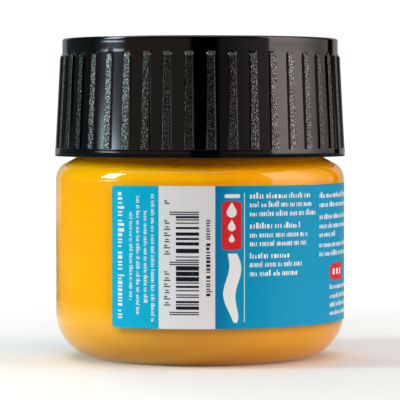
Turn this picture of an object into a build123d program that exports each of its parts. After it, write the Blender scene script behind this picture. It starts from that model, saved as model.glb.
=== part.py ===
from build123d import *
from math import asin, cos, degrees, hypot, radians, sin, tan
import os

# Wide-mouth screw-top paint jar, in millimetres. +Z is up, the origin is the centre of the standing ring,
# and the side with the printed panel's edge faces -Y.

# Jar
body_radius = 36.8  # outside of the straight side
body_height = 45.5  # where the straight side ends
heel_radius = 11.2  # rounding between the side and the standing ring
shoulder_radius = 4.5  # rounding between the side and the sloping shoulder
shoulder_slope = 27.0  # degrees, shoulder against the horizontal
shoulder_step = 5.3  # how far the neck is inside the body
jar_wall = 1.2
ring_width = 5.0  # flat ring that the jar stands on
push_up = 2.4  # height of the dome under the jar
neck_height = 27.2  # shoulder to sealing rim
neck_wall = 1.9
root_round = 0.8  # between the shoulder and the neck
rim_round = 0.4  # edges of the sealing rim

# Thread, a single start of six turns to the inch
thread_pitch = 25.4 / 6
thread_depth = 1.1
thread_foot = 2.1  # width of the ridge at the neck
thread_crest = 0.9  # width of the ridge at its top
thread_lead_in = 3.2  # sealing rim to the middle of the top of the jar's thread
jar_thread_turns = 1.5
cap_thread_turns = 1.25
thread_play = 0.3  # between the crests and the walls they turn in
flank_play = 0.15  # between the loaded flanks
ridge_sink = 0.25  # how far a ridge or rib is rooted in its wall
run_out = 7.0  # length over which a ridge's ends rise from the wall

# Cap
cap_wall = 2.3  # above the counterbore
cap_top_thickness = 2.0
cap_edge_round = 0.7
skirt_flare = 1.25  # growth of the skirt's radius from the top band to the rim
skirt_wall = 1.9  # below the counterbore's end
skirt_gap = 1.9  # air between the shoulder and the cap's lower edge
rim_height = 2.1
rim_lip = 0.6  # how far the rim stands out from the skirt
band_height = 3.8  # plain band above the ribs
rib_count = 42
rib_height = 0.5
rib_foot_width = 2.6  # at the rim
rib_top_width = 2.1
rib_flank = 0.3  # how much narrower a crest is on each side
rib_edge_round = 0.15
rib_end_slope = 1.4  # length of the slope at a rib's top

# Liner, paint and label
liner_thickness = 1.0
liner_clearance = 0.4
headspace = 9.0  # sealing rim to the paint
label_thickness = 0.08
label_top_gap = 0.9  # straight side's end to the label
label_overhang = 1.3  # how far the label reaches below the straight side
label_start = -125.75  # degrees, the end beside the bare window, counted from +X
label_wrap = 296.0  # degrees of the body that the label covers
label_corner = 0.9

# Levels and radii that follow
neck_radius = body_radius - shoulder_step
ring_outer = body_radius - heel_radius
ring_inner = ring_outer - ring_width
dome_radius = (ring_inner**2 + push_up**2) / (2 * push_up)
dome_angle = degrees(asin(ring_inner / dome_radius))
shoulder_turn = 90 - shoulder_slope


def shoulder_level(radius, depth=0.0):
    """Height of the shoulder's slope at a radius, on the surface that lies a depth inside the outer one."""
    bend = shoulder_radius - depth
    edge = body_radius - shoulder_radius + bend * cos(radians(shoulder_turn))
    return body_height + bend * sin(radians(shoulder_turn)) + (edge - radius) * tan(radians(shoulder_slope))


neck_root = shoulder_level(neck_radius)
sealing_rim = neck_root + neck_height
ceiling = sealing_rim + liner_thickness
cap_top = ceiling + cap_top_thickness

bore_radius = neck_radius + thread_depth + thread_play
skirt_top_radius = bore_radius + cap_wall
skirt_bottom_radius = skirt_top_radius + skirt_flare
mouth_radius = skirt_bottom_radius - skirt_wall
rim_radius = skirt_bottom_radius + rim_lip
cap_bottom = shoulder_level(mouth_radius) + skirt_gap
rim_top = cap_bottom + rim_height
rib_top = cap_top - band_height

label_bottom = heel_radius - label_overhang
label_height = body_height - label_top_gap - label_bottom

jar_thread_start = sealing_rim - thread_lead_in - jar_thread_turns * thread_pitch
flank_gap = (thread_foot + thread_crest) / 2 + flank_play
cap_thread_start = jar_thread_start - flank_gap
counterbore_top = cap_thread_start - thread_foot


def half_outline(depth, neck):
    """Lines of one side of the jar, a depth inside its outer surface, from the axis up to the sealing rim."""
    dome = JernArc((0, push_up + depth), (1, 0), dome_radius, -dome_angle)
    ring = Line(dome @ 1, (ring_outer, depth))
    heel = JernArc(ring @ 1, (1, 0), heel_radius - depth, 90)
    side = Line(heel @ 1, (body_radius - depth, body_height))
    bend = JernArc(side @ 1, (0, 1), shoulder_radius - depth, shoulder_turn)
    slope = Line(bend @ 1, (neck, shoulder_level(neck, depth)))
    upright = Line(slope @ 1, (neck, sealing_rim))
    Polyline(upright @ 1, (0, sealing_rim), dome @ 0)


def ridge_profile(sense):
    """Cross-section of a thread's ridge, standing on a wall at x = 0 and rooted a little inside it."""
    slant = (thread_foot - thread_crest) / 2 / thread_depth
    root = thread_foot / 2 + slant * ridge_sink
    points = (
        (-sense * ridge_sink, -root),
        (sense * thread_depth, -thread_crest / 2),
        (sense * thread_depth, thread_crest / 2),
        (-sense * ridge_sink, root),
    )
    Polygon(*points, align=None)


def slant_plane(end, sense, onward):
    """Plane of the slant that a ridge's end runs out in: sense is 1 on a neck and -1 in a bore, and onward is 1
    at the ridge's start and -1 at its finish."""
    radius = hypot(end.X, end.Y)
    outward = Vector(end.X, end.Y, 0) / radius
    along = Vector(0, 0, onward).cross(outward)
    rise = asin(thread_depth / run_out - sense * run_out / (2 * radius))
    slope = along * cos(rise) + outward * sense * sin(rise)
    return Plane(end, x_dir=slope, z_dir=(0, 0, -sense * onward))


def thread_ridge(radius, start, turns, sense):
    """A thread's ridge on a wall of a radius, from its start level up, with both ends run out into the wall."""
    with BuildPart() as ridge:
        with BuildLine() as helix:
            Helix(thread_pitch, turns * thread_pitch, radius, center=(0, 0, start))
        with BuildSketch(Plane(helix.line @ 0, x_dir=(1, 0, 0), z_dir=helix.line % 0)):
            ridge_profile(sense)
        sweep(path=helix.line, is_frenet=True)
        foot = slant_plane(helix.line @ 0, sense, 1)
        tip = slant_plane(helix.line @ 1, sense, -1)
        with Locations(foot.location, tip.location):
            above = (Align.MIN, Align.MIN, Align.CENTER)
            Box(run_out, 2 * thread_depth, thread_foot + 1, align=above, mode=Mode.SUBTRACT)
    return ridge.part


def rib_section(wall_radius, width):
    """Cross-section of a grip rib on the +X side of the skirt."""
    Polygon(
        (wall_radius - ridge_sink, -width / 2),
        (wall_radius, -width / 2),
        (wall_radius + rib_height, rib_flank - width / 2),
        (wall_radius + rib_height, width / 2 - rib_flank),
        (wall_radius, width / 2),
        (wall_radius - ridge_sink, width / 2),
        align=None,
    )


# Jar
with BuildSketch(Plane.XZ) as jar_cavity:
    with BuildLine():
        half_outline(jar_wall, neck_radius - neck_wall)
    make_face()

with BuildPart() as jar:
    with BuildSketch(Plane.XZ):
        with BuildLine():
            half_outline(0.0, neck_radius)
        make_face()
    revolve(axis=Axis.Z)
    revolve(jar_cavity.sketch, axis=Axis.Z, mode=Mode.SUBTRACT)
    rim_edges = jar.edges().filter_by(GeomType.CIRCLE).group_by(Axis.Z)[-1]
    fillet(rim_edges, rim_round)
    root_edge = jar.edges().filter_by(GeomType.CIRCLE).filter_by(
        lambda edge: abs(edge.radius - neck_radius) < 0.001 and abs(edge.arc_center.Z - neck_root) < 0.001
    )
    fillet(root_edge, root_round)
    add(thread_ridge(neck_radius, jar_thread_start, jar_thread_turns, sense=1))

# Paint
with BuildPart() as paint:
    revolve(jar_cavity.sketch, axis=Axis.Z)
    split(bisect_by=Plane.XY.offset(sealing_rim - headspace), keep=Keep.BOTTOM)

# Label
with BuildPart() as label:
    with BuildSketch(Plane.XZ.rotated((0, 0, label_start))):
        with Locations((body_radius, label_bottom)):
            Rectangle(label_thickness, label_height, align=(Align.MIN, Align.MIN))
    revolve(axis=Axis.Z, revolution_arc=label_wrap)
    corner_edges = label.edges().filter_by(lambda edge: edge.length < 2 * label_thickness)
    fillet(corner_edges, label_corner)

# Cap
with BuildPart() as rib:
    with BuildSketch(Plane.XY.offset(rim_top)):
        rib_section(skirt_bottom_radius, rib_foot_width)
    with BuildSketch(Plane.XY.offset(rib_top)):
        rib_section(skirt_top_radius, rib_top_width)
    loft()
    long_edges = rib.edges().filter_by(lambda edge: edge.length > rib_foot_width)
    fillet(long_edges.sort_by(Axis.X)[-2:], rib_edge_round)
    end_slope = Vector(rib_end_slope, 0, rib_height)
    split(bisect_by=Plane((skirt_top_radius, 0, rib_top), x_dir=(0, 1, 0), z_dir=end_slope), keep=Keep.BOTTOM)

with BuildPart() as cap:
    with BuildSketch(Plane.XZ):
        with BuildLine():
            Polyline(
                (0, cap_top),
                (skirt_top_radius, cap_top),
                (skirt_top_radius, rib_top),
                (skirt_bottom_radius, rim_top),
                (rim_radius, rim_top),
                (rim_radius, cap_bottom),
                (mouth_radius, cap_bottom),
                (bore_radius, counterbore_top),
                (bore_radius, ceiling),
                (0, ceiling),
                close=True,
            )
        make_face()
    revolve(axis=Axis.Z)
    fillet(cap.edges().filter_by(GeomType.CIRCLE).group_by(Axis.Z)[-1], cap_edge_round)
    add(thread_ridge(bore_radius, cap_thread_start, cap_thread_turns, sense=-1))
    with PolarLocations(0, rib_count, start_angle=-90 + 180 / rib_count):
        add(rib.part)

# Liner
with BuildPart() as cap_liner:
    with BuildSketch(Plane.XY.offset(sealing_rim)):
        Circle(bore_radius - liner_clearance)
    extrude(amount=liner_thickness)

os.makedirs("parts", exist_ok=True)
pieces = {
    "jar": jar,
    "paint": paint,
    "label": label,
    "cap": cap,
    "cap_liner": cap_liner,
}
for name, piece in pieces.items():
    piece.part.label = name
    export_step(piece.part, f"parts/{name}.step")
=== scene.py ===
import bpy
import random
from math import atan2, cos, degrees, hypot, pi, radians, sin, tan
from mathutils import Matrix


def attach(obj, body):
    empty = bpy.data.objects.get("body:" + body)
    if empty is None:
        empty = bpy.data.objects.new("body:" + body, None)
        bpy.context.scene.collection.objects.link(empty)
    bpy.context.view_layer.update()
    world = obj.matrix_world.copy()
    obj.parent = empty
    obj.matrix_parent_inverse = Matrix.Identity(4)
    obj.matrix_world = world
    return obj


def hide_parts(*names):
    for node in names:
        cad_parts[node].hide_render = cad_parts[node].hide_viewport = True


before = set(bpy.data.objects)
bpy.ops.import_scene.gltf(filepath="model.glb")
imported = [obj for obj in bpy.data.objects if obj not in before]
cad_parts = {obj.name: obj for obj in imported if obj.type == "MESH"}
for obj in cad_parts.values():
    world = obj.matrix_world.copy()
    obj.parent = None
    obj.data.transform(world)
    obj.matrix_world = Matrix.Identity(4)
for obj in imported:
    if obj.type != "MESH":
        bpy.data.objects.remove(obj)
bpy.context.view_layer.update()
mm = 0.001
scene = bpy.context.scene
scene.view_settings.view_transform = "Standard"


# camera

camera = {"distance": 0.664, "height": 0.0631, "tiltDown": 1.996, "lens": 233.4}

cameraData = bpy.data.cameras.new("camera")
cameraData.lens = camera["lens"]
cameraData.sensor_width = 36
cameraObject = bpy.data.objects.new("camera", cameraData)
cameraObject.location = (0, -camera["distance"], camera["height"])
cameraObject.rotation_euler = (radians(90 - camera["tiltDown"]), 0, 0)
scene.collection.objects.link(cameraObject)
scene.camera = cameraObject
print("camera placed")


# node helpers

class Wire:
    def __init__(self, net, socket):
        self.net = net
        self.socket = socket

    def maths(self, operation, *others):
        return self.net.wire("ShaderNodeMath", {"operation": operation}, dict(enumerate((self, *others))))

    def __add__(self, other):
        return self.maths("ADD", other)

    def __sub__(self, other):
        return self.maths("SUBTRACT", other)

    def __rsub__(self, other):
        return self.net.wire("ShaderNodeMath", {"operation": "SUBTRACT"}, {0: other, 1: self})

    def __mul__(self, other):
        return self.maths("MULTIPLY", other)

    def __truediv__(self, other):
        return self.maths("DIVIDE", other)

    def __rtruediv__(self, other):
        return self.net.wire("ShaderNodeMath", {"operation": "DIVIDE"}, {0: other, 1: self})

    def __gt__(self, other):
        return self.maths("GREATER_THAN", other)

    def __lt__(self, other):
        return self.maths("LESS_THAN", other)

    __radd__ = __add__
    __rmul__ = __mul__

    def floor(self):
        return self.maths("FLOOR")

    def clamp(self, low=0.0, high=1.0):
        return self.maths("MAXIMUM", low).maths("MINIMUM", high)

    def ramp(self, low, high):
        kind = {"interpolation_type": "SMOOTHSTEP"}
        return self.net.wire("ShaderNodeMapRange", kind, {"Value": self, "From Min": low, "From Max": high})

    def band(self, low, high, soft):
        return self.ramp(low - soft, low + soft) * (1 - self.ramp(high - soft, high + soft))


class Net:
    def __init__(self, tree):
        self.tree = tree
        tree.nodes.clear()

    def node(self, kind, settings=None, inputs=None):
        made = self.tree.nodes.new(kind)
        for name, value in (settings or {}).items():
            if name == "points":
                curve = made.mapping.curves[0].points
                while len(curve) < len(value):
                    curve.new(0.5, 0.5)
                for point, place in zip(curve, value):
                    point.location = place
                    point.handle_type = "VECTOR"
                made.mapping.update()
            else:
                setattr(made, name, value)
        for name, value in (inputs or {}).items():
            if isinstance(value, Wire):
                self.tree.links.new(value.socket, made.inputs[name])
            elif value is not None:
                made.inputs[name].default_value = value
        return made

    def wire(self, kind, settings=None, inputs=None, output=0):
        return Wire(self, self.node(kind, settings, inputs).outputs[output])

    def parts(self, vector):
        split = self.node("ShaderNodeSeparateXYZ", None, {0: vector})
        return [Wire(self, socket) for socket in split.outputs]

    def vector(self, x=0.0, y=0.0, z=0.0):
        return self.wire("ShaderNodeCombineXYZ", None, {0: x, 1: y, 2: z})

    def mix(self, factor, a, b):
        a, b = [(*c, 1) if isinstance(c, tuple) else c for c in (a, b)]
        return self.wire("ShaderNodeMix", {"data_type": "RGBA"}, {0: factor, 6: a, 7: b}, 2)

    def noise(self, vector, scale, detail=2.0, roughness=0.5, distortion=0.0):
        sizes = {"Vector": vector, "Scale": scale, "Detail": detail, "Roughness": roughness, "Distortion": distortion}
        return self.wire("ShaderNodeTexNoise", None, sizes)

    def bump(self, height, distance, strength):
        sizes = {"Height": height, "Distance": distance, "Strength": strength}
        return self.wire("ShaderNodeBump", None, sizes, "Normal")


def tint(red, green, blue):
    return tuple(((c / 255 + 0.055) / 1.055) ** 2.4 if c > 10 else c / 255 / 12.92 for c in (red, green, blue))


def surface(name, make):
    material = bpy.data.materials.new(name)
    material.use_nodes = True
    net = Net(material.node_tree)
    place = net.wire("ShaderNodeTexCoord", None, None, "Object")
    shader = make(net, place)
    net.node("ShaderNodeOutputMaterial", None, {"Surface": shader})
    return material


def stretched(net, place, x, y, z):
    return net.wire("ShaderNodeMapping", {"vector_type": "POINT"}, {"Vector": place, "Scale": (x, y, z)})


# materials

# the grey fleck colour is a painted glint: lighter metallic specks on the grain of the rib crests, where the real cap
# is all black
blackFinish = {
    "colour": (0.0008, 0.0008, 0.0008), "glintFleck": (0.22, 0.22, 0.22), "gloss": 0.05, "crestRoughness": 0.20,
    "grain": 3100,
}


def blackPlastic(net, place):
    crest = net.wire("ShaderNodeAttribute", {"attribute_name": "ribCrest"}, None, "Fac")
    sparks = net.noise(place, blackFinish["grain"], 1, 0.5)
    pits = net.noise(place, blackFinish["grain"] * 0.45, 2, 0.5)
    haze = net.noise(place, 90, 3)
    wear = net.noise(stretched(net, place, 1, 1, 0.12), 700, 2) > 0.66
    waves = net.noise(stretched(net, place, 1, 1, 0.35), 60, 1)
    grain = net.bump(sparks * 0.9 + pits * 0.4, 0.00014, 1.0)
    smooth = net.bump(waves, 0.0004, 0.25)
    normal = net.wire("ShaderNodeMix", {"data_type": "VECTOR"}, {0: crest, 4: smooth, 5: grain}, 1)
    gloss = blackFinish["gloss"] + haze * 0.05 + wear * 0.02
    roughness = gloss * (1 - crest) + crest * (blackFinish["crestRoughness"] + 0.12 * sparks)
    glintFleck = crest * sparks.ramp(0.52, 0.58)  # grey metallic flecks on the grain of the rib crests: the grain is real, the lighter colour is a painted glint for the light its facets catch
    colour = net.mix(glintFleck, blackFinish["colour"], blackFinish["glintFleck"])
    return net.wire("ShaderNodeBsdfPrincipled", None, {
        "Base Color": colour, "Metallic": glintFleck, "Roughness": roughness, "Normal": normal, "IOR": 1.52})


clearFinish = {"ior": 1.47, "roughness": 0.025, "flow": 0.00006}


def clearPlastic(net, place):
    x, y, z = net.parts(place)
    around = y.maths("ARCTAN2", x)
    flow = net.noise(net.vector(around, z * 6, 0.0), 26, 2)
    low = 1 - z.ramp(0.006, 0.022)
    wobble = net.noise(stretched(net, place, 1, 1, 0.5), 55, 1)
    normal = net.bump(flow * low * 0.8 + wobble * 0.35, clearFinish["flow"] * 4, 0.4)
    glass = net.wire("ShaderNodeBsdfPrincipled", None, {
        "Base Color": (0.985, 0.985, 0.97, 1), "Roughness": clearFinish["roughness"], "IOR": clearFinish["ior"],
        "Transmission Weight": 1.0, "Normal": normal})
    path = net.node("ShaderNodeLightPath")
    shadow = Wire(net, path.outputs["Is Shadow Ray"])
    clear = net.wire("ShaderNodeBsdfTransparent", None, {"Color": (0.97, 0.97, 0.95, 1)})
    return net.wire("ShaderNodeMixShader", None, {0: shadow, 1: glass, 2: clear})


paintFinish = {
    "colour": (0.93, 0.442, 0.0), "deep": (0.87, 0.37, 0.0), "roughness": 0.28,
    "wetFrom": 0.0675, "wetTo": 0.0690,
}


def yellowPaint(net, place):
    streaks = net.noise(stretched(net, place, 1, 1, 2.4), 38, 3, 0.55, 0.8)
    fine = net.noise(place, 1400, 2)
    colour = net.mix(streaks.ramp(0.3, 0.75) * 0.4, paintFinish["colour"], paintFinish["deep"])
    normal = net.bump(streaks * 0.8 + fine * 0.05, 0.0006, 0.15)
    height = net.parts(place)[2]
    wet = height.ramp(paintFinish["wetFrom"], paintFinish["wetTo"])  # only the open surface meets the air
    return net.wire("ShaderNodeBsdfPrincipled", None, {
        "Base Color": colour, "Roughness": paintFinish["roughness"] + 0.1 * fine, "Normal": normal,
        "Specular IOR Level": 0.0, "Coat Weight": wet, "Coat Roughness": 0.09, "Coat IOR": 1.45})


labelPlan = {
    "radius": 36.88, "thickness": 0.07, "start": -125.75, "wrap": 296.0, "bottom": 9.9, "height": 34.7,
    "corner": 0.9, "stripEnd": 12.85, "panelEnd": 26.70, "deepEnd": 32.5,
}
labelInk = {
    "strip": tint(0, 181, 223), "panel": tint(234, 234, 239), "main": tint(0, 155, 200), "deep": tint(0, 112, 168),
    "fibre": (0.35, 0.8, 1.0),
}


def labelFilm(net, place):
    x, y = net.parts(place)[:2]
    along = (y.maths("ARCTAN2", x) - radians(labelPlan["start"])) * labelPlan["radius"]  # millimetres round the label
    panel = along.band(labelPlan["stripEnd"], labelPlan["panelEnd"], 0.02)
    beyond = along > labelPlan["panelEnd"]
    fibre = net.noise(stretched(net, place, 1, 1, 0.3), 2600, 2)
    cloud = net.noise(place, 45, 2)
    blue = net.mix(beyond, labelInk["strip"], labelInk["main"])
    blue = net.mix(cloud.ramp(0.25, 0.8) * 0.10, blue, labelInk["deep"])
    edge = 1 - along.ramp(labelPlan["panelEnd"], labelPlan["deepEnd"])
    blue = net.mix(beyond * edge * 0.75, blue, labelInk["deep"])
    colour = net.mix(panel, blue, labelInk["panel"])
    colour = net.mix(fibre.ramp(0.5, 0.9) * 0.04, colour, labelInk["fibre"])
    normal = net.bump(cloud * 0.8 + fibre * 0.04, 0.0004, 0.3)
    return net.wire("ShaderNodeBsdfPrincipled", None, {
        "Base Color": colour, "Roughness": 0.27 + cloud * 0.1, "Normal": normal, "Specular IOR Level": 0.14})


def ink(colour):
    def make(net, place):
        speck = net.noise(place, 2400, 2)
        shade = net.mix(speck.ramp(0.55, 0.95) * 0.22, colour, labelInk["main"])
        return net.wire("ShaderNodeBsdfPrincipled", None, {
            "Base Color": shade, "Roughness": 0.3 + speck * 0.08, "Specular IOR Level": 0.14})
    return make


linerFinish = {
    "light": (0.80, 0.79, 0.76), "shade": (0.70, 0.69, 0.66), "pressed": (0.55, 0.50, 0.40),
    "pressedFrom": 0.0299, "pressedTo": 0.0316, "cells": 2200.0,
}


def linerFoam(net, place):
    cells = net.wire("ShaderNodeTexVoronoi", None, {"Vector": place, "Scale": linerFinish["cells"]}, "Distance")
    cloud = net.noise(place, 160, 3)
    x, y = net.parts(place)[:2]
    radius = (x * x + y * y).maths("SQRT")
    pressed = radius.band(linerFinish["pressedFrom"], linerFinish["pressedTo"], 0.0003)
    colour = net.mix(cloud, linerFinish["light"], linerFinish["shade"])
    colour = net.mix(pressed * 0.35, colour, linerFinish["pressed"])
    normal = net.bump(cells * (1 - pressed * 0.7), 0.00012, 0.6)
    return net.wire("ShaderNodeBsdfPrincipled", None, {
        "Base Color": colour, "Roughness": 0.75 - pressed * 0.2, "Normal": normal})


materials = {
    "cap": surface("glossy black plastic", blackPlastic),
    "jar": surface("clear plastic", clearPlastic),
    "paint": surface("yellow paint", yellowPaint),
    "label": surface("printed film", labelFilm),
    "liner": surface("pressed foam", linerFoam),
    "white": surface("white ink", ink(tint(240, 246, 250))),
    "dark": surface("dark ink", ink(tint(26, 24, 40))),
    "red": surface("red ink", ink(tint(222, 40, 48))),
    "yellow": surface("yellow ink", ink(tint(244, 196, 20))),
}
print("materials made:", len(materials))


# geometry helpers

def newTree(name, sizes):
    tree = bpy.data.node_groups.new(name, "GeometryNodeTree")
    tree.interface.new_socket("Geometry", in_out="INPUT", socket_type="NodeSocketGeometry")
    tree.interface.new_socket("Geometry", in_out="OUTPUT", socket_type="NodeSocketGeometry")
    for label, value in sizes.items():
        kind = "NodeSocketInt" if isinstance(value, int) else "NodeSocketFloat"
        tree.interface.new_socket(label, in_out="INPUT", socket_type=kind)
    net = Net(tree)
    entry = net.node("NodeGroupInput")
    return net, {socket.name: Wire(net, socket) for socket in entry.outputs if socket.name}


def endTree(net, geometry, material):
    whole = net.wire("GeometryNodeRealizeInstances", None, {0: geometry})
    done = net.wire("GeometryNodeSetMaterial", None, {0: whole, "Material": material})
    net.node("NodeGroupOutput", None, {0: done})


def grow(name, base, net, sizes, body, replaced=()):
    piece = bpy.data.objects.new(name, base)
    scene.collection.objects.link(piece)
    modifier = piece.modifiers.new("build", "NODES")
    modifier.node_group = net.tree
    for item in net.tree.interface.items_tree:
        if item.item_type == "SOCKET" and item.in_out == "INPUT" and item.name in sizes:
            modifier[item.identifier] = sizes[item.name]
    bpy.context.view_layer.update()
    evaluated = piece.evaluated_get(bpy.context.evaluated_depsgraph_get())
    mesh = bpy.data.meshes.new_from_object(evaluated)
    piece.modifiers.clear()
    piece.data = mesh
    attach(piece, body)
    if replaced:
        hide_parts(*replaced)
    print(name, "made:", len(mesh.polygons), "faces")


def shadeByAngle(net, geometry, limit):
    angle = net.wire("GeometryNodeInputMeshEdgeAngle")
    smooth = net.wire("GeometryNodeSetShadeSmooth", {"domain": "FACE"}, {0: geometry, 2: True})
    sharp = angle > radians(limit)
    return net.wire("GeometryNodeSetShadeSmooth", {"domain": "EDGE"}, {0: smooth, 1: sharp, 2: False})


# a turned piece: its outline is points (radius, relief, height), and relief is how far a rib or thread stands out

def outlineMesh(name, points):
    mesh = bpy.data.meshes.new(name)
    mesh.from_pydata([(r * mm, relief * mm, z * mm) for r, z, relief in points], [], [])
    return mesh


def arc(centreR, centreZ, radius, start, end, steps):
    turns = [radians(start + (end - start) * i / steps) for i in range(steps + 1)]
    return [(centreR + radius * cos(a), centreZ + radius * sin(a), 0.0) for a in turns]


def run(start, end, steps, relief=0.0):
    share = [i / steps for i in range(1, steps + 1)]
    return [(start[0] + (end[0] - start[0]) * s, start[1] + (end[1] - start[1]) * s, relief) for s in share]


threadSizes = {"pitch": 25.4 / 6, "depth": 1.1, "foot": 2.1, "crest": 0.9, "runOut": 7.0, "margin": 0.2}


def threadRidge(net, turn, z, entry):
    pitch = threadSizes["pitch"] * mm
    climb = (z - entry["Thread Start"]) / pitch - turn
    lap = climb.maths("ROUND")
    away = (climb - lap).maths("ABSOLUTE") * pitch
    flank = (threadSizes["foot"] - threadSizes["crest"]) / 2 * mm
    ridge = (threadSizes["foot"] / 2 * mm - away) / flank
    along = lap + turn
    toEnd = along.maths("MINIMUM", entry["Thread Turns"] - along)
    rise = toEnd * entry["Thread Radius"] * (2 * pi / (threadSizes["runOut"] * mm))
    return ridge.maths("MINIMUM", rise).clamp()


def turnedTree(name, sizes, material, ribShape=None, thread=False, ripple=False, sharpAngle=35):
    net, entry = newTree(name, sizes)
    outline, steps = entry["Geometry"], entry["Steps"]
    rows = net.wire("GeometryNodeAttributeDomainSize", {"component": "MESH"}, {0: outline})
    columns = steps + 1
    grid = net.wire("GeometryNodeMeshGrid", None, {"Vertices X": columns, "Vertices Y": rows})
    index = net.wire("GeometryNodeInputIndex")
    step = (index / rows).floor()
    position = net.wire("GeometryNodeInputPosition")
    sample = {"Geometry": outline, "Value": position, "Index": index - step * rows}
    point = net.wire("GeometryNodeSampleIndex", {"data_type": "FLOAT_VECTOR"}, sample)
    radius, relief, z = net.parts(point)
    angle = step / steps * 2 * pi
    standing = None
    if ribShape:
        count = len(ribShape) - 1
        period = (step / count).floor()
        phase = step / count - period
        across = net.wire("ShaderNodeFloatCurve", {"points": [
            (i / count, (q + 2) / 4) for i, (q, h) in enumerate(ribShape)]}, {"Value": phase}) * 4 - 2
        standing = net.wire("ShaderNodeFloatCurve", {"points": [
            (i / count, h) for i, (q, h) in enumerate(ribShape)]}, {"Value": phase})
        share = ((z - entry["Rib Foot"]) / (entry["Rib Top"] - entry["Rib Foot"])).clamp()
        halfRib = entry["Foot Half Angle"] * (1 - share) + entry["Top Half Angle"] * share
        halfPeriod = pi / entry["Ribs"]
        onRib = across.clamp(-1, 1)
        local = onRib * halfRib + (across - onRib) * (halfPeriod - halfRib)
        angle = (period * 2 + 1) * halfPeriod + local - pi / 2
    if thread:
        turn = (angle / (2 * pi)).maths("FRACT") if not ribShape else (angle / (2 * pi) + 1).maths("FRACT")
        ridge = threadRidge(net, turn, z, entry)
        if ribShape:
            radius = radius + relief.maths("MAXIMUM", 0.0) * standing + relief.maths("MINIMUM", 0.0) * ridge
        else:
            radius = radius + relief * ridge
    x, y = radius * angle.maths("COSINE"), radius * angle.maths("SINE")
    if ripple:
        swirl = net.noise(net.vector(x, y, 0.0), 75.0, 1, 0.4, 1.4)
        z = z + relief * (swirl - 0.5) * 2
    placed = net.wire("GeometryNodeSetPosition", None, {0: grid, "Position": net.vector(x, y, z)})
    if ribShape:
        crest = (standing > 0.97) * (relief > 0.2 * mm)
        named = {0: placed, "Name": "ribCrest", "Value": crest}
        placed = net.wire("GeometryNodeStoreNamedAttribute", {"data_type": "FLOAT", "domain": "POINT"}, named)
    joined = net.wire("GeometryNodeMergeByDistance", None, {0: placed, "Distance": 0.000002})
    endTree(net, shadeByAngle(net, joined, sharpAngle), material)
    return net


# cap

capSizes = {
    "top": 81.158, "edgeRound": 0.7, "bandRadius": 35.2, "ribTop": 77.358, "ribFoot": 53.404, "footRadius": 36.45,
    "rimRadius": 37.05, "bottom": 51.304, "mouthRadius": 34.55, "boreRadius": 32.9, "counterbore": 64.858,
    "ceiling": 79.158, "ribs": 42, "ribHeight": 0.5, "ribSlope": 1.0, "footWidth": 2.6, "topWidth": 2.1,
    "rimRound": 0.15, "threadStart": 66.958, "threadTurns": 1.25, "gateRadius": 1.5, "gateDepth": 0.07,
}
ribShape = [
    (-2, 0), (-1.1, 0), (-1, 0), (-0.9, 0.42), (-0.815, 0.8), (-0.78, 0.93), (-0.72, 1), (-0.36, 1), (0, 1),
    (0.36, 1), (0.72, 1), (0.78, 0.93), (0.815, 0.8), (0.9, 0.42), (1, 0), (1.1, 0), (2, 0),
]


def capOutline():
    c = capSizes
    points = [(0, c["top"] - c["gateDepth"], 0), (c["gateRadius"] * 0.8, c["top"] - c["gateDepth"], 0)]
    points += [(c["gateRadius"], c["top"], 0)]
    edge = c["bandRadius"] - c["edgeRound"]
    points += run((c["gateRadius"], c["top"]), (edge - 0.2, c["top"]), 6)
    points += arc(edge, c["top"] - c["edgeRound"], c["edgeRound"], 90, 0, 7)
    points += run((c["bandRadius"], c["top"] - c["edgeRound"]), (c["bandRadius"], c["ribTop"]), 3)
    slope = (c["footRadius"] - c["bandRadius"]) / (c["ribTop"] - c["ribFoot"])
    drops = [0.02, 0.12, 0.35, 0.65, 0.88, 1.0, 1.15, 1.5, 2.5, 4.5, 7, 10, 13, 16, 19, 21.5, 23.2, 23.954]
    for drop in drops:
        relief = c["ribHeight"] * min(1.0, drop / c["ribSlope"])
        points += [(c["bandRadius"] + slope * drop, c["ribTop"] - drop, relief)]
    r, top, low = c["rimRound"], c["ribFoot"], c["bottom"]
    points += arc(c["rimRadius"] - r * 0.5, top - r * 0.5, r * 0.5, 90, 0, 3)
    points += arc(c["rimRadius"] - r, low + r, r, 0, -90, 3)
    points += arc(c["mouthRadius"] + r, low + r, r, -90, -180, 3)
    points += run((c["mouthRadius"], low + r), (c["boreRadius"], c["counterbore"]), 5)
    t, bore = threadSizes, c["boreRadius"]
    threadTop = c["threadStart"] + c["threadTurns"] * t["pitch"] + t["foot"] / 2
    threadLow = c["threadStart"] - t["foot"] / 2
    points += run((bore, c["counterbore"]), (bore, threadLow - t["margin"]), 2)
    points += run((bore, threadLow - t["margin"]), (bore, threadTop + t["margin"]), 40, -t["depth"])
    points += run((bore, threadTop + t["margin"]), (bore, c["ceiling"]), 3)
    points += run((c["boreRadius"], c["ceiling"]), (0, c["ceiling"]), 3)
    return points[::-1]


capNumbers = {
    "Steps": capSizes["ribs"] * (len(ribShape) - 1),
    "Ribs": float(capSizes["ribs"]),
    "Rib Foot": capSizes["ribFoot"] * mm,
    "Rib Top": capSizes["ribTop"] * mm,
    "Foot Half Angle": capSizes["footWidth"] / 2 / capSizes["footRadius"],
    "Top Half Angle": capSizes["topWidth"] / 2 / capSizes["bandRadius"],
    "Thread Start": capSizes["threadStart"] * mm,
    "Thread Turns": capSizes["threadTurns"],
    "Thread Radius": capSizes["boreRadius"] * mm,
}
capTree = turnedTree("ribbed cap", capNumbers, materials["cap"], ribShape=ribShape, thread=True, sharpAngle=24)
grow("screw_cap", outlineMesh("cap outline", capOutline()), capTree, capNumbers,
     "cap_body", ["cap"])


# liner

linerSizes = {
    "radius": 32.5, "bottom": 78.158, "thickness": 1.0, "edgeRound": 0.15,
    "imprint": 0.08, "imprintSlope": 0.3, "rimInner": 29.9, "rimOuter": 31.6,
}


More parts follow.
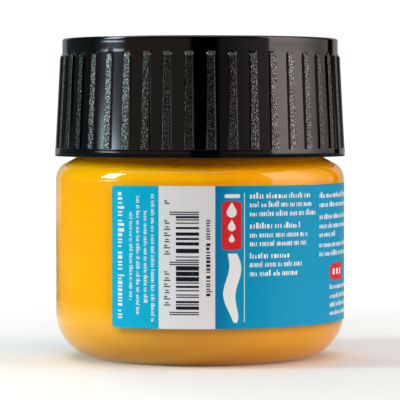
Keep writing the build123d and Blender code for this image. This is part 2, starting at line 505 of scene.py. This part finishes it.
def linerOutline():
    s = linerSizes
    top, low = s["bottom"] + s["thickness"], s["bottom"]
    r = s["edgeRound"]
    points = [(0, low, 0)] + run((0, low), (s["rimInner"] - s["imprintSlope"], low), 4)
    points += [(s["rimInner"], low + s["imprint"], 0), (s["rimOuter"], low + s["imprint"], 0)]
    points += [(s["rimOuter"] + s["imprintSlope"], low, 0)]
    points += arc(s["radius"] - r, low + r, r, -90, 0, 3)
    points += arc(s["radius"] - r, top - r, r, 0, 90, 3)
    return points + run((s["radius"] - r, top), (0, top), 3)


linerTree = turnedTree("sealing liner", {"Steps": 192}, materials["liner"])
grow("sealing_liner", outlineMesh("liner outline", linerOutline()), linerTree, {"Steps": 192},
     "liner_body", ["cap_liner"])


# jar

jarSizes = {
    "bodyRadius": 36.8, "bodyHeight": 45.5, "heel": 11.2, "ringInner": 20.6, "pushUp": 2.4, "shoulder": 4.5,
    "slope": 27.0, "neckRadius": 31.5, "root": 0.8, "rim": 78.158, "rimRound": 0.4, "wall": 1.2, "neckWall": 1.9,
    "threadStart": 68.608, "threadTurns": 1.5,
}


def shoulderLevel(radius, depth):
    j = jarSizes
    bend = j["shoulder"] - depth
    turn = radians(90 - j["slope"])
    edge = j["bodyRadius"] - j["shoulder"] + bend * cos(turn)
    return j["bodyHeight"] + bend * sin(turn) + (edge - radius) * tan(radians(j["slope"]))


def bodyOutline(depth, neck, steps):
    j = jarSizes
    domeRadius = (j["ringInner"] ** 2 + j["pushUp"] ** 2) / (2 * j["pushUp"])
    ringOuter = j["bodyRadius"] - j["heel"]
    half = degrees(atan2(j["ringInner"], domeRadius - j["pushUp"]))
    points = arc(0, j["pushUp"] + depth - domeRadius, domeRadius, 90, 90 - half, 8)
    points += run((j["ringInner"], depth), (ringOuter - 0.2, depth), 3)
    points += arc(ringOuter, j["heel"], j["heel"] - depth, -90, 0, steps)
    side = j["bodyRadius"] - depth
    points += run((side, j["heel"]), (side, j["bodyHeight"] - 0.5), 6)
    points += arc(j["bodyRadius"] - j["shoulder"], j["bodyHeight"], j["shoulder"] - depth, 0, 90 - j["slope"], 14)
    last = points[-1]
    return points + run(last, (neck + 0.9, shoulderLevel(neck + 0.9, depth)), 2)


def jarOutline():
    j = jarSizes
    neck, slope = j["neckRadius"], radians(j["slope"])
    points = bodyOutline(0, neck, 28)
    rootZ = shoulderLevel(neck, 0) + j["root"] * (1 - sin(slope)) / cos(slope)
    points += arc(neck + j["root"], rootZ, j["root"], -90 - j["slope"], -180, 5)
    t = threadSizes
    low = j["threadStart"] - t["foot"] / 2 - t["margin"]
    high = j["threadStart"] + j["threadTurns"] * t["pitch"] + t["foot"] / 2 + t["margin"]
    points += run((neck, rootZ), (neck, low), 5)
    points += run((neck, low), (neck, high), 56, t["depth"])
    points += run((neck, high), (neck, j["rim"] - j["rimRound"]), 2)[:-1]
    points += arc(neck - j["rimRound"], j["rim"] - j["rimRound"], j["rimRound"], 0, 90, 4)
    inner = neck - j["neckWall"]
    points += arc(inner + j["rimRound"], j["rim"] - j["rimRound"], j["rimRound"], 90, 180, 4)
    points += run((inner, j["rim"] - j["rimRound"]), (inner, shoulderLevel(inner, j["wall"])), 8)
    return points + bodyOutline(j["wall"], inner, 20)[::-1]


jarNumbers = {
    "Steps": 320, "Thread Start": jarSizes["threadStart"] * mm, "Thread Turns": jarSizes["threadTurns"],
    "Thread Radius": jarSizes["neckRadius"] * mm,
}
jarTree = turnedTree("clear jar", jarNumbers, materials["jar"], thread=True, sharpAngle=80)
grow("clear_jar", outlineMesh("jar outline", jarOutline()), jarTree, jarNumbers,
     "jar_body", ["jar"])


# paint

paintSizes = {"wetting": 0.05, "level": 69.158, "climb": 0.7, "climbWidth": 2.4, "ripple": 0.22}


def paintOutline():
    p, j = paintSizes, jarSizes
    depth = j["wall"] - p["wetting"]
    inner = j["neckRadius"] - j["neckWall"] + p["wetting"]
    points = bodyOutline(depth, inner, 20)
    points += run((inner, shoulderLevel(inner, depth)), (inner, p["level"] + p["climb"]), 6)
    for i in range(1, 9):
        s = i / 8
        points += [(inner - p["climbWidth"] * s, p["level"] + p["climb"] * (1 - s) ** 3, p["ripple"] * s)]
    rings = [inner - p["climbWidth"] - (inner - p["climbWidth"]) * i / 22 for i in range(1, 23)]
    return points + [(r, p["level"], p["ripple"]) for r in rings]


paintTree = turnedTree("paint fill", {"Steps": 160}, materials["paint"], ripple=True, sharpAngle=50)
grow("yellow_paint", outlineMesh("paint outline", paintOutline()), paintTree, {"Steps": 160},
     "jar_body", ["paint"])


# label, laid out flat in millimetres (distance from its start, height) and bent round the body

def bendTree(name, sizes, material, sheet):
    net, entry = newTree(name, sizes)
    position = net.wire("GeometryNodeInputPosition")
    if sheet:
        flat = net.wire("GeometryNodeMeshGrid", None, {
            "Size X": 2.0, "Size Y": 2.0, "Vertices X": entry["Columns"], "Vertices Y": entry["Rows"]})
        u, v = net.parts(position)[:2]
        half, corner = entry["Height"] / 2, entry["Corner"]
        v = (v * (pi / 2)).maths("SINE") * half
        into = (v.maths("ABSOLUTE") - half + corner).maths("MAXIMUM", 0.0)
        inset = corner - (corner * corner - into * into).maths("MAXIMUM", 0.0).maths("SQRT")
        along = u * (entry["Length"] / 2 - inset) + entry["Length"] / 2
        flat = net.wire("GeometryNodeSetPosition", None, {0: flat, "Position": net.vector(along, v + half, 0.0)})
    else:
        width = net.wire("GeometryNodeInputNamedAttribute", {"data_type": "FLOAT"}, {"Name": "markWidth"})
        height = net.wire("GeometryNodeInputNamedAttribute", {"data_type": "FLOAT"}, {"Name": "markHeight"})
        tile = net.wire("GeometryNodeMeshGrid", None, {"Vertices X": 5, "Vertices Y": 2})
        marks = net.wire("GeometryNodeInstanceOnPoints", None, {
            0: entry["Geometry"], "Selection": width > 0.0, "Instance": tile, "Scale": net.vector(width, height, 1.0)})
        marks = net.wire("GeometryNodeRealizeInstances", None, {0: marks})
        shapes = net.wire("GeometryNodeDeleteGeometry", None, {0: entry["Geometry"], "Selection": width > 0.0})
        shapes = net.wire("GeometryNodeSubdivideMesh", None, {0: shapes, "Level": 2})
        join = net.node("GeometryNodeJoinGeometry")
        for part in (marks, shapes):
            net.tree.links.new(part.socket, join.inputs[0])
        flat = Wire(net, join.outputs[0])
    lifted = net.node("GeometryNodeExtrudeMesh", {"mode": "FACES"}, {
        0: flat, "Offset": net.vector(0.0, 0.0, 1.0), "Offset Scale": entry["Thickness"], "Individual": False})
    back = net.wire("GeometryNodeFlipFaces", None, {0: flat})
    join = net.node("GeometryNodeJoinGeometry")
    for part in (Wire(net, lifted.outputs[0]), back):
        net.tree.links.new(part.socket, join.inputs[0])
    shell = net.wire("GeometryNodeMergeByDistance", None, {0: Wire(net, join.outputs[0]), "Distance": 0.000001})
    u, v, w = net.parts(position)
    angle = u / entry["Radius"] + entry["Start"]
    out = entry["Radius"] + w
    bent = net.vector(out * angle.maths("COSINE"), out * angle.maths("SINE"), v + entry["Bottom"])
    placed = net.wire("GeometryNodeSetPosition", None, {0: shell, "Position": bent})
    endTree(net, shadeByAngle(net, placed, 40), material)
    return net


def bendSizes(base, thickness, **more):
    sizes = {"Radius": (labelPlan["radius"] - base) * mm, "Start": radians(labelPlan["start"]),
             "Bottom": labelPlan["bottom"] * mm, "Thickness": thickness * mm}
    return {**sizes, **more}


labelLength = radians(labelPlan["wrap"]) * labelPlan["radius"]
labelNumbers = bendSizes(labelPlan["thickness"], labelPlan["thickness"], Columns=200, Rows=36,
                         Length=labelLength * mm, Height=labelPlan["height"] * mm, Corner=labelPlan["corner"] * mm)
labelTree = bendTree("label sheet", labelNumbers, materials["label"], sheet=True)
grow("wrap_label", bpy.data.meshes.new("label start"), labelTree, labelNumbers,
     "jar_body", ["label"])


# print on the label: rows of plain marks where an object like this has small print, and simple shapes

dice = random.Random(11)
marks = {"white": [], "dark": [], "red": [], "yellow": []}
strips = {"white": [], "dark": [], "red": [], "yellow": []}
rowStyle = {"stem": 0.12, "boldStem": 0.19, "height": 0.62, "gap": 0.32}  # shares of a row's size


def addMark(inkName, u, z, width, height):
    marks[inkName].append((u, z - labelPlan["bottom"], width, height))


def printRow(inkName, start, end, across, size, bold=False, upright=False):
    place, left = 0.0, dice.randint(3, 8)
    length = abs(end - start)
    stem = size * rowStyle["boldStem" if bold else "stem"]
    while place < length - stem:
        wide = stem * dice.choice((1, 1, 1, 1.7, 2.2))
        tall = size * dice.choice((rowStyle["height"],) * 5 + (0.9, 0.5))
        middle = place + wide / 2
        shift = (tall - size * rowStyle["height"]) / 2
        if upright:
            addMark(inkName, across + shift, start - middle, tall, wide)
        else:
            addMark(inkName, start + middle, across + shift, wide, tall)
        place += wide + stem * dice.choice((0.9, 1.1, 1.5))
        left -= 1
        if left == 0:
            place += size * rowStyle["gap"]
            left = dice.randint(3, 9)


def addStrip(inkName, rows):
    strips[inkName].append([[(u, z - labelPlan["bottom"]) for u, z in row] for row in rows])


def addBox(inkName, u, z, width, height, corner):
    count = max(8, round(width / 0.9))
    turns = [i / 6 * pi / 2 for i in range(7)]
    left = [(u - width / 2 + corner * (1 - cos(a)), corner * (1 - sin(a))) for a in turns]
    flat = width - 2 * corner
    middle = [(u - flat / 2 + flat * i / count, 0.0) for i in range(1, count)]
    right = [(2 * u - place, inset) for place, inset in reversed(left)]
    half = height / 2
    edge = left + middle + right
    addStrip(inkName, [[(place, z - half + inset), (place, z + half - inset)] for place, inset in edge])


def addDrop(inkName, u, z, size):
    rows = []
    for i in range(17):
        a = pi / 2 - pi * i / 16
        pull = max(0.0, sin(a)) ** 3
        half = max(size * cos(a) * (1 - 0.55 * pull), 0.02)
        here = z + size * (sin(a) + 0.9 * pull)
        rows.append([(u - half, here), (u + half, here)])
    addStrip(inkName, rows)


def brushStroke(inkName, u, top, low, width, sway):
    steps, rows = 24, []
    for i in range(steps + 1):
        s = i / steps
        middle = u + sway * sin(s * 2 * pi * 1.25)
        half = width / 2 * (0.25 + 0.75 * sin(pi * min(1.0, s * 0.84 + 0.16)) ** 0.6)
        z = top - (top - low) * s
        rows.append([(middle - half, z), (middle + half, z)])
    addStrip(inkName, rows)


barPlan = {"left": 17.15, "right": 22.75, "guardLeft": 15.55, "top": 38.4, "bottom": 13.3, "modules": 95}


def barBlock():
    module = (barPlan["top"] - barPlan["bottom"]) / barPlan["modules"]
    guards = {0, 2, 46, 48, 92, 94}
    filled = set(guards)
    place = 4
    while place < 91:
        wide = dice.choice((1, 1, 2, 2, 3, 4))
        filled |= set(range(place, min(place + wide, 91)))
        place += wide + dice.choice((1, 1, 2, 2, 3))
    filled -= {45, 47, 49}
    start = None
    for i in range(barPlan["modules"] + 1):
        if i in filled and start is None:
            start = i
        if i not in filled and start is not None:
            left = barPlan["guardLeft"] if start in guards else barPlan["left"]
            z = barPlan["top"] - module * (start + i) / 2
            addMark("dark", (left + barPlan["right"]) / 2, z, barPlan["right"] - left, module * (i - start))
            start = None


# strip beside the bare window
printRow("white", 43.0, 11.5, 2.45, 2.0, bold=True, upright=True)
for across, top, low in ((5.45, 38.2, 16.5), (7.35, 42.1, 12.7), (9.35, 38.5, 16.2), (11.25, 42.6, 11.8)):
    printRow("white", top, low, across, 1.15, upright=True)
# bar panel
barBlock()
for top, low in ((41.2, 40.2), (36.4, 27.4), (24.0, 15.1)):
    for i in range(max(1, round((top - low) / 1.5))):
        addMark("dark", 14.95, top - 0.78 - i * 1.5, 1.6 if i % 3 else 1.2, 0.26)
        addMark("dark", 14.6 + 0.35 * (i % 2), top - 0.22 - i * 1.5, 0.8, 0.26)
printRow("dark", 36.4, 18.0, 25.0, 1.55, bold=True, upright=True)
# sign: drops on a red patch over a brush stroke
addBox("white", 30.9, 42.15, 3.9, 0.95, 0.4)
addBox("red", 30.75, 35.0, 4.9, 11.9, 1.1)
for z, size in ((38.2, 1.25), (34.6, 0.95), (31.6, 0.7)):
    addDrop("white", 30.75, z, size)
brushStroke("white", 30.9, 28.2, 11.4, 3.2, 0.75)
addMark("white", 33.95, 27.2, 0.17, 31.4)
# small print in two columns
for z, end, bold in ((42.0, 53.7, True), (39.9, 54.2, False), (37.7, 55.9, False), (34.7, 50.2, True),
                     (32.5, 52.7, False), (30.4, 52.0, False), (27.4, 46.5, True), (25.3, 50.6, False),
                     (23.1, 49.5, False)):
    printRow("white", 35.35, end, z, 1.6, bold=bold)
for z, end, bold in ((41.7, 76.0, True), (39.4, 78.5, True), (36.4, 77.0, False), (34.1, 79.0, False),
                     (32.0, 66.0, False), (29.4, 78.0, False), (27.2, 77.0, False)):
    printRow("white", 57.4, end, z, 1.55, bold=bold)
addBox("red", 67.3, 22.6, 9.7, 4.3, 2.1)
for u in (64.9, 67.3, 69.7):
    addMark("white", u, 22.6, 1.3, 1.5)
for z, end in ((18.7, 79.0), (16.4, 78.0), (14.3, 80.0), (12.2, 78.5)):
    printRow("white", 62.6, end, z, 1.45)
# main panel on the far side
addBox("white", 138.7, 36.2, 58.0, 9.6, 2.2)
addBox("red", 117.5, 36.2, 11.0, 6.4, 3.0)
for i, u in enumerate((126.5, 131.5, 136.5, 141.5, 146.5, 151.5, 156.5, 161.5)):
    addBox("dark", u, 36.2 + (0.7 if i % 3 == 1 else 0.0), 3.4, 3.2 + (1.4 if i % 3 == 1 else 0.0), 1.2)
addBox("yellow", 119.0, 20.4, 14.0, 14.0, 6.9)
addDrop("white", 119.0, 18.6, 3.4)
for i, z in enumerate((26.4, 23.4, 20.4)):
    printRow("white", 130.0, 166.0 - i * 5, z, 2.1, bold=i == 0)
printRow("white", 130.0, 160.0, 15.0, 1.5)
for z, end in ((41.5, 100.0), (38.9, 101.0), (36.3, 98.0), (33.7, 101.0), (31.1, 96.0)):
    printRow("white", 84.0, end, z, 1.5, bold=z > 41)
for z, end in ((41.5, 188.0), (38.9, 187.0), (36.3, 188.5), (33.7, 184.0), (28.4, 188.0), (25.8, 186.0),
               (23.2, 188.0)):
    printRow("white", 173.5, end, z, 1.5, bold=z > 41)


def printMesh(inkName):
    flat = bpy.data.meshes.new(inkName + " marks")
    places = [(u * mm, z * mm, 0.0) for u, z, width, height in marks[inkName]]
    faces, widths = [], [width * mm for u, z, width, height in marks[inkName]]
    heights = [height * mm for u, z, width, height in marks[inkName]]
    for rows in strips[inkName]:
        first = len(places)
        places += [(u * mm, z * mm, 0.0) for row in rows for u, z in row]
        corners = range(first, first + 2 * len(rows) - 2, 2)
        faces += [(i, i + 2, i + 3, i + 1) for i in corners]
    flat.from_pydata(places, [], faces)
    blank = [0.0] * (len(places) - len(widths))
    for name, values in (("markWidth", widths + blank), ("markHeight", heights + blank)):
        flat.attributes.new(name, "FLOAT", "POINT").data.foreach_set("value", values)
    return flat


layers = {"red": 0.0, "yellow": 0.0, "white": 0.012, "dark": 0.024}
for inkName, lift in layers.items():
    inkNumbers = bendSizes(0.01, 0.02 + lift)
    inkTree = bendTree(inkName + " print", inkNumbers, materials[inkName], sheet=False)
    grow("print_" + inkName, printMesh(inkName), inkTree, inkNumbers, "jar_body")


# floor and light

studio = {
    "left": 0.3, "right": 0.16, "rightRise": 0.27, "farLeft": 0.1, "back": 0.5, "floor": 0.14, "panel": 3.1,
    "glow": 0.6, "lowGlow": 14.0,
    "strip": {"azimuth": -77, "distance": 0.5, "low": 0.17, "high": 0.46, "width": 0.14, "radiance": 18.0},
}

floorPlan = {"half": 0.9, "fadeFrom": 0.06, "fadeTo": 0.24}
floorMesh = bpy.data.meshes.new("floor")
corners = [(x * floorPlan["half"], y * floorPlan["half"], 0) for x, y in ((-1, -1), (1, -1), (1, 1), (-1, 1))]
floorMesh.from_pydata(corners, [], [(0, 1, 2, 3)])
floor = bpy.data.objects.new("floor", floorMesh)
scene.collection.objects.link(floor)


def paleFloor(net, place):
    mottle = net.noise(place, 25, 3)
    shade = net.mix(mottle, (0.84, 0.84, 0.85), (0.87, 0.87, 0.87))
    x, y = net.parts(place)[:2]
    radius = (x * x + y * y).maths("SQRT")
    fade = 1 - radius.ramp(floorPlan["fadeFrom"], floorPlan["fadeTo"])  # the sheet melts into the bright room
    return net.wire("ShaderNodeBsdfPrincipled", None, {"Base Color": shade, "Roughness": 0.6, "Alpha": fade})


floorMesh.materials.append(surface("pale floor", paleFloor))


def panelLight(name, place, target, width, height, radiance, colour=(1, 1, 1)):
    data = bpy.data.lights.new(name, "AREA")
    data.shape = "RECTANGLE"
    data.size, data.size_y = width, height
    data.energy = radiance * width * height * pi
    data.color = colour
    lamp = bpy.data.objects.new(name, data)
    lamp.location = place
    aim = [t - p for t, p in zip(target, place)]
    lamp.rotation_euler = (atan2(hypot(aim[0], aim[1]), -aim[2]), 0, atan2(aim[0], -aim[1]) + pi)
    scene.collection.objects.link(lamp)
    return lamp


def uprightLight(name, plan, colour):
    a = radians(plan["azimuth"])
    middle = (plan["low"] + plan["high"]) / 2
    place = (plan["distance"] * sin(a), -plan["distance"] * cos(a), middle)
    height = plan["high"] - plan["low"]
    panelLight(name, place, (0, 0, middle), plan["width"], height, plan["radiance"], colour)


uprightLight("left strip", studio["strip"], (0.74, 0.97, 0.97))
panelLight("overhead panel", (-0.1, 0.05, 1.15), (0, 0, 0.05), 1.5, 1.5, 1.2, (1.0, 0.94, 0.88))
panelLight("front fill", (0.1, -0.8, 0.8), (0, 0, 0.04), 0.7, 0.5, 2.7, (1.0, 0.86, 0.74)).visible_glossy = False
panelLight("back lamp", (-0.17, 0.38, 0.48), (0, 0, 0.05), 0.10, 0.10, 9.0)

zones = {  # degrees round from the front or up: from, to and, for a band, its soft edge
    "near": (-2.0, 8.5, 1.5), "window": (-8.0, 16.0, 1.0), "leftSide": (-12.0, -4.0), "rightRise": (14.0, 54.0),
    "farLeft": (-100.0, -88.0), "backdrop": (143.0, 150.0), "notch": (133.0, 145.0, 1.0), "below": (-3.0, -2.0),
    "glowAcross": (-86.0, -68.0, 5.0), "glowUp": (0.0, 8.5, 0.6), "lowGlowUp": (2.6, 4.05, 0.2),
    "panelStart": (57.0, 60.5), "panelEnd": (131.0, 134.0), "panelFade": (74.0, 122.0), "panelUp": (-2.0, 46.5, 0.6),
}
world = bpy.data.worlds.new("studio")
world.use_nodes = True
scene.world = world
net = Net(world.node_tree)
direction = net.wire("ShaderNodeTexCoord", None, None, "Generated")
x, y, z = net.parts(direction)
azimuth = x.maths("ARCTAN2", y * -1) * (180 / pi)
elevation = z.maths("ARCSINE") * (180 / pi)
nearLevel = 0.22 + 0.78 * elevation.band(*zones["near"])
window = azimuth.band(*zones["window"])
leftSide = 1 - azimuth.ramp(*zones["leftSide"])
rightLevel = studio["right"] + azimuth.ramp(*zones["rightRise"]) * studio["rightRise"]
level = leftSide * studio["left"] + (1 - leftSide) * rightLevel
inside = azimuth.ramp(*zones["farLeft"])
level = level * (1 - window) * inside + (1 - inside) * studio["farLeft"]
backdrop = azimuth.maths("ABSOLUTE").ramp(*zones["backdrop"])
notch = azimuth.band(*zones["notch"])
level = level * nearLevel * (1 - backdrop) * (1 - notch) + backdrop * studio["back"]
below = 1 - elevation.ramp(*zones["below"])
level = level * (1 - below) + below * (1 - window) * studio["floor"]
glowUp = elevation.band(*zones["glowUp"]) * studio["glow"]
glowUp = glowUp + elevation.band(*zones["lowGlowUp"]) * studio["lowGlow"]
glow = azimuth.band(*zones["glowAcross"]) * glowUp
panelAcross = azimuth.ramp(*zones["panelStart"]) * (1 - azimuth.ramp(*zones["panelEnd"]))
panelAcross = panelAcross * (1 - 0.93 * azimuth.ramp(*zones["panelFade"]))
panelRise = 0.8 + 0.2 * elevation.ramp(2.0, 5.0) + 0.35 * elevation.ramp(10.0, 16.0)
panelUp = elevation.band(*zones["panelUp"]) * panelRise
level = level + glow + panelAcross * panelUp * studio["panel"]
seen = Wire(net, net.node("ShaderNodeLightPath").outputs["Is Camera Ray"])
hue = net.mix(azimuth.ramp(0.0, 30.0), (1.0, 0.86, 0.72), (1.0, 0.88, 0.84))
hue = net.mix(azimuth < -66.0, hue, (0.74, 0.88, 1.0))
room = net.wire("ShaderNodeBackground", None, {"Color": hue, "Strength": level})
white = net.wire("ShaderNodeBackground", None, {"Color": (1, 1, 1, 1), "Strength": 1.05})
both = net.wire("ShaderNodeMixShader", None, {0: seen, 1: room, 2: white})
net.node("ShaderNodeOutputWorld", None, {"Surface": both})
print("studio lit")
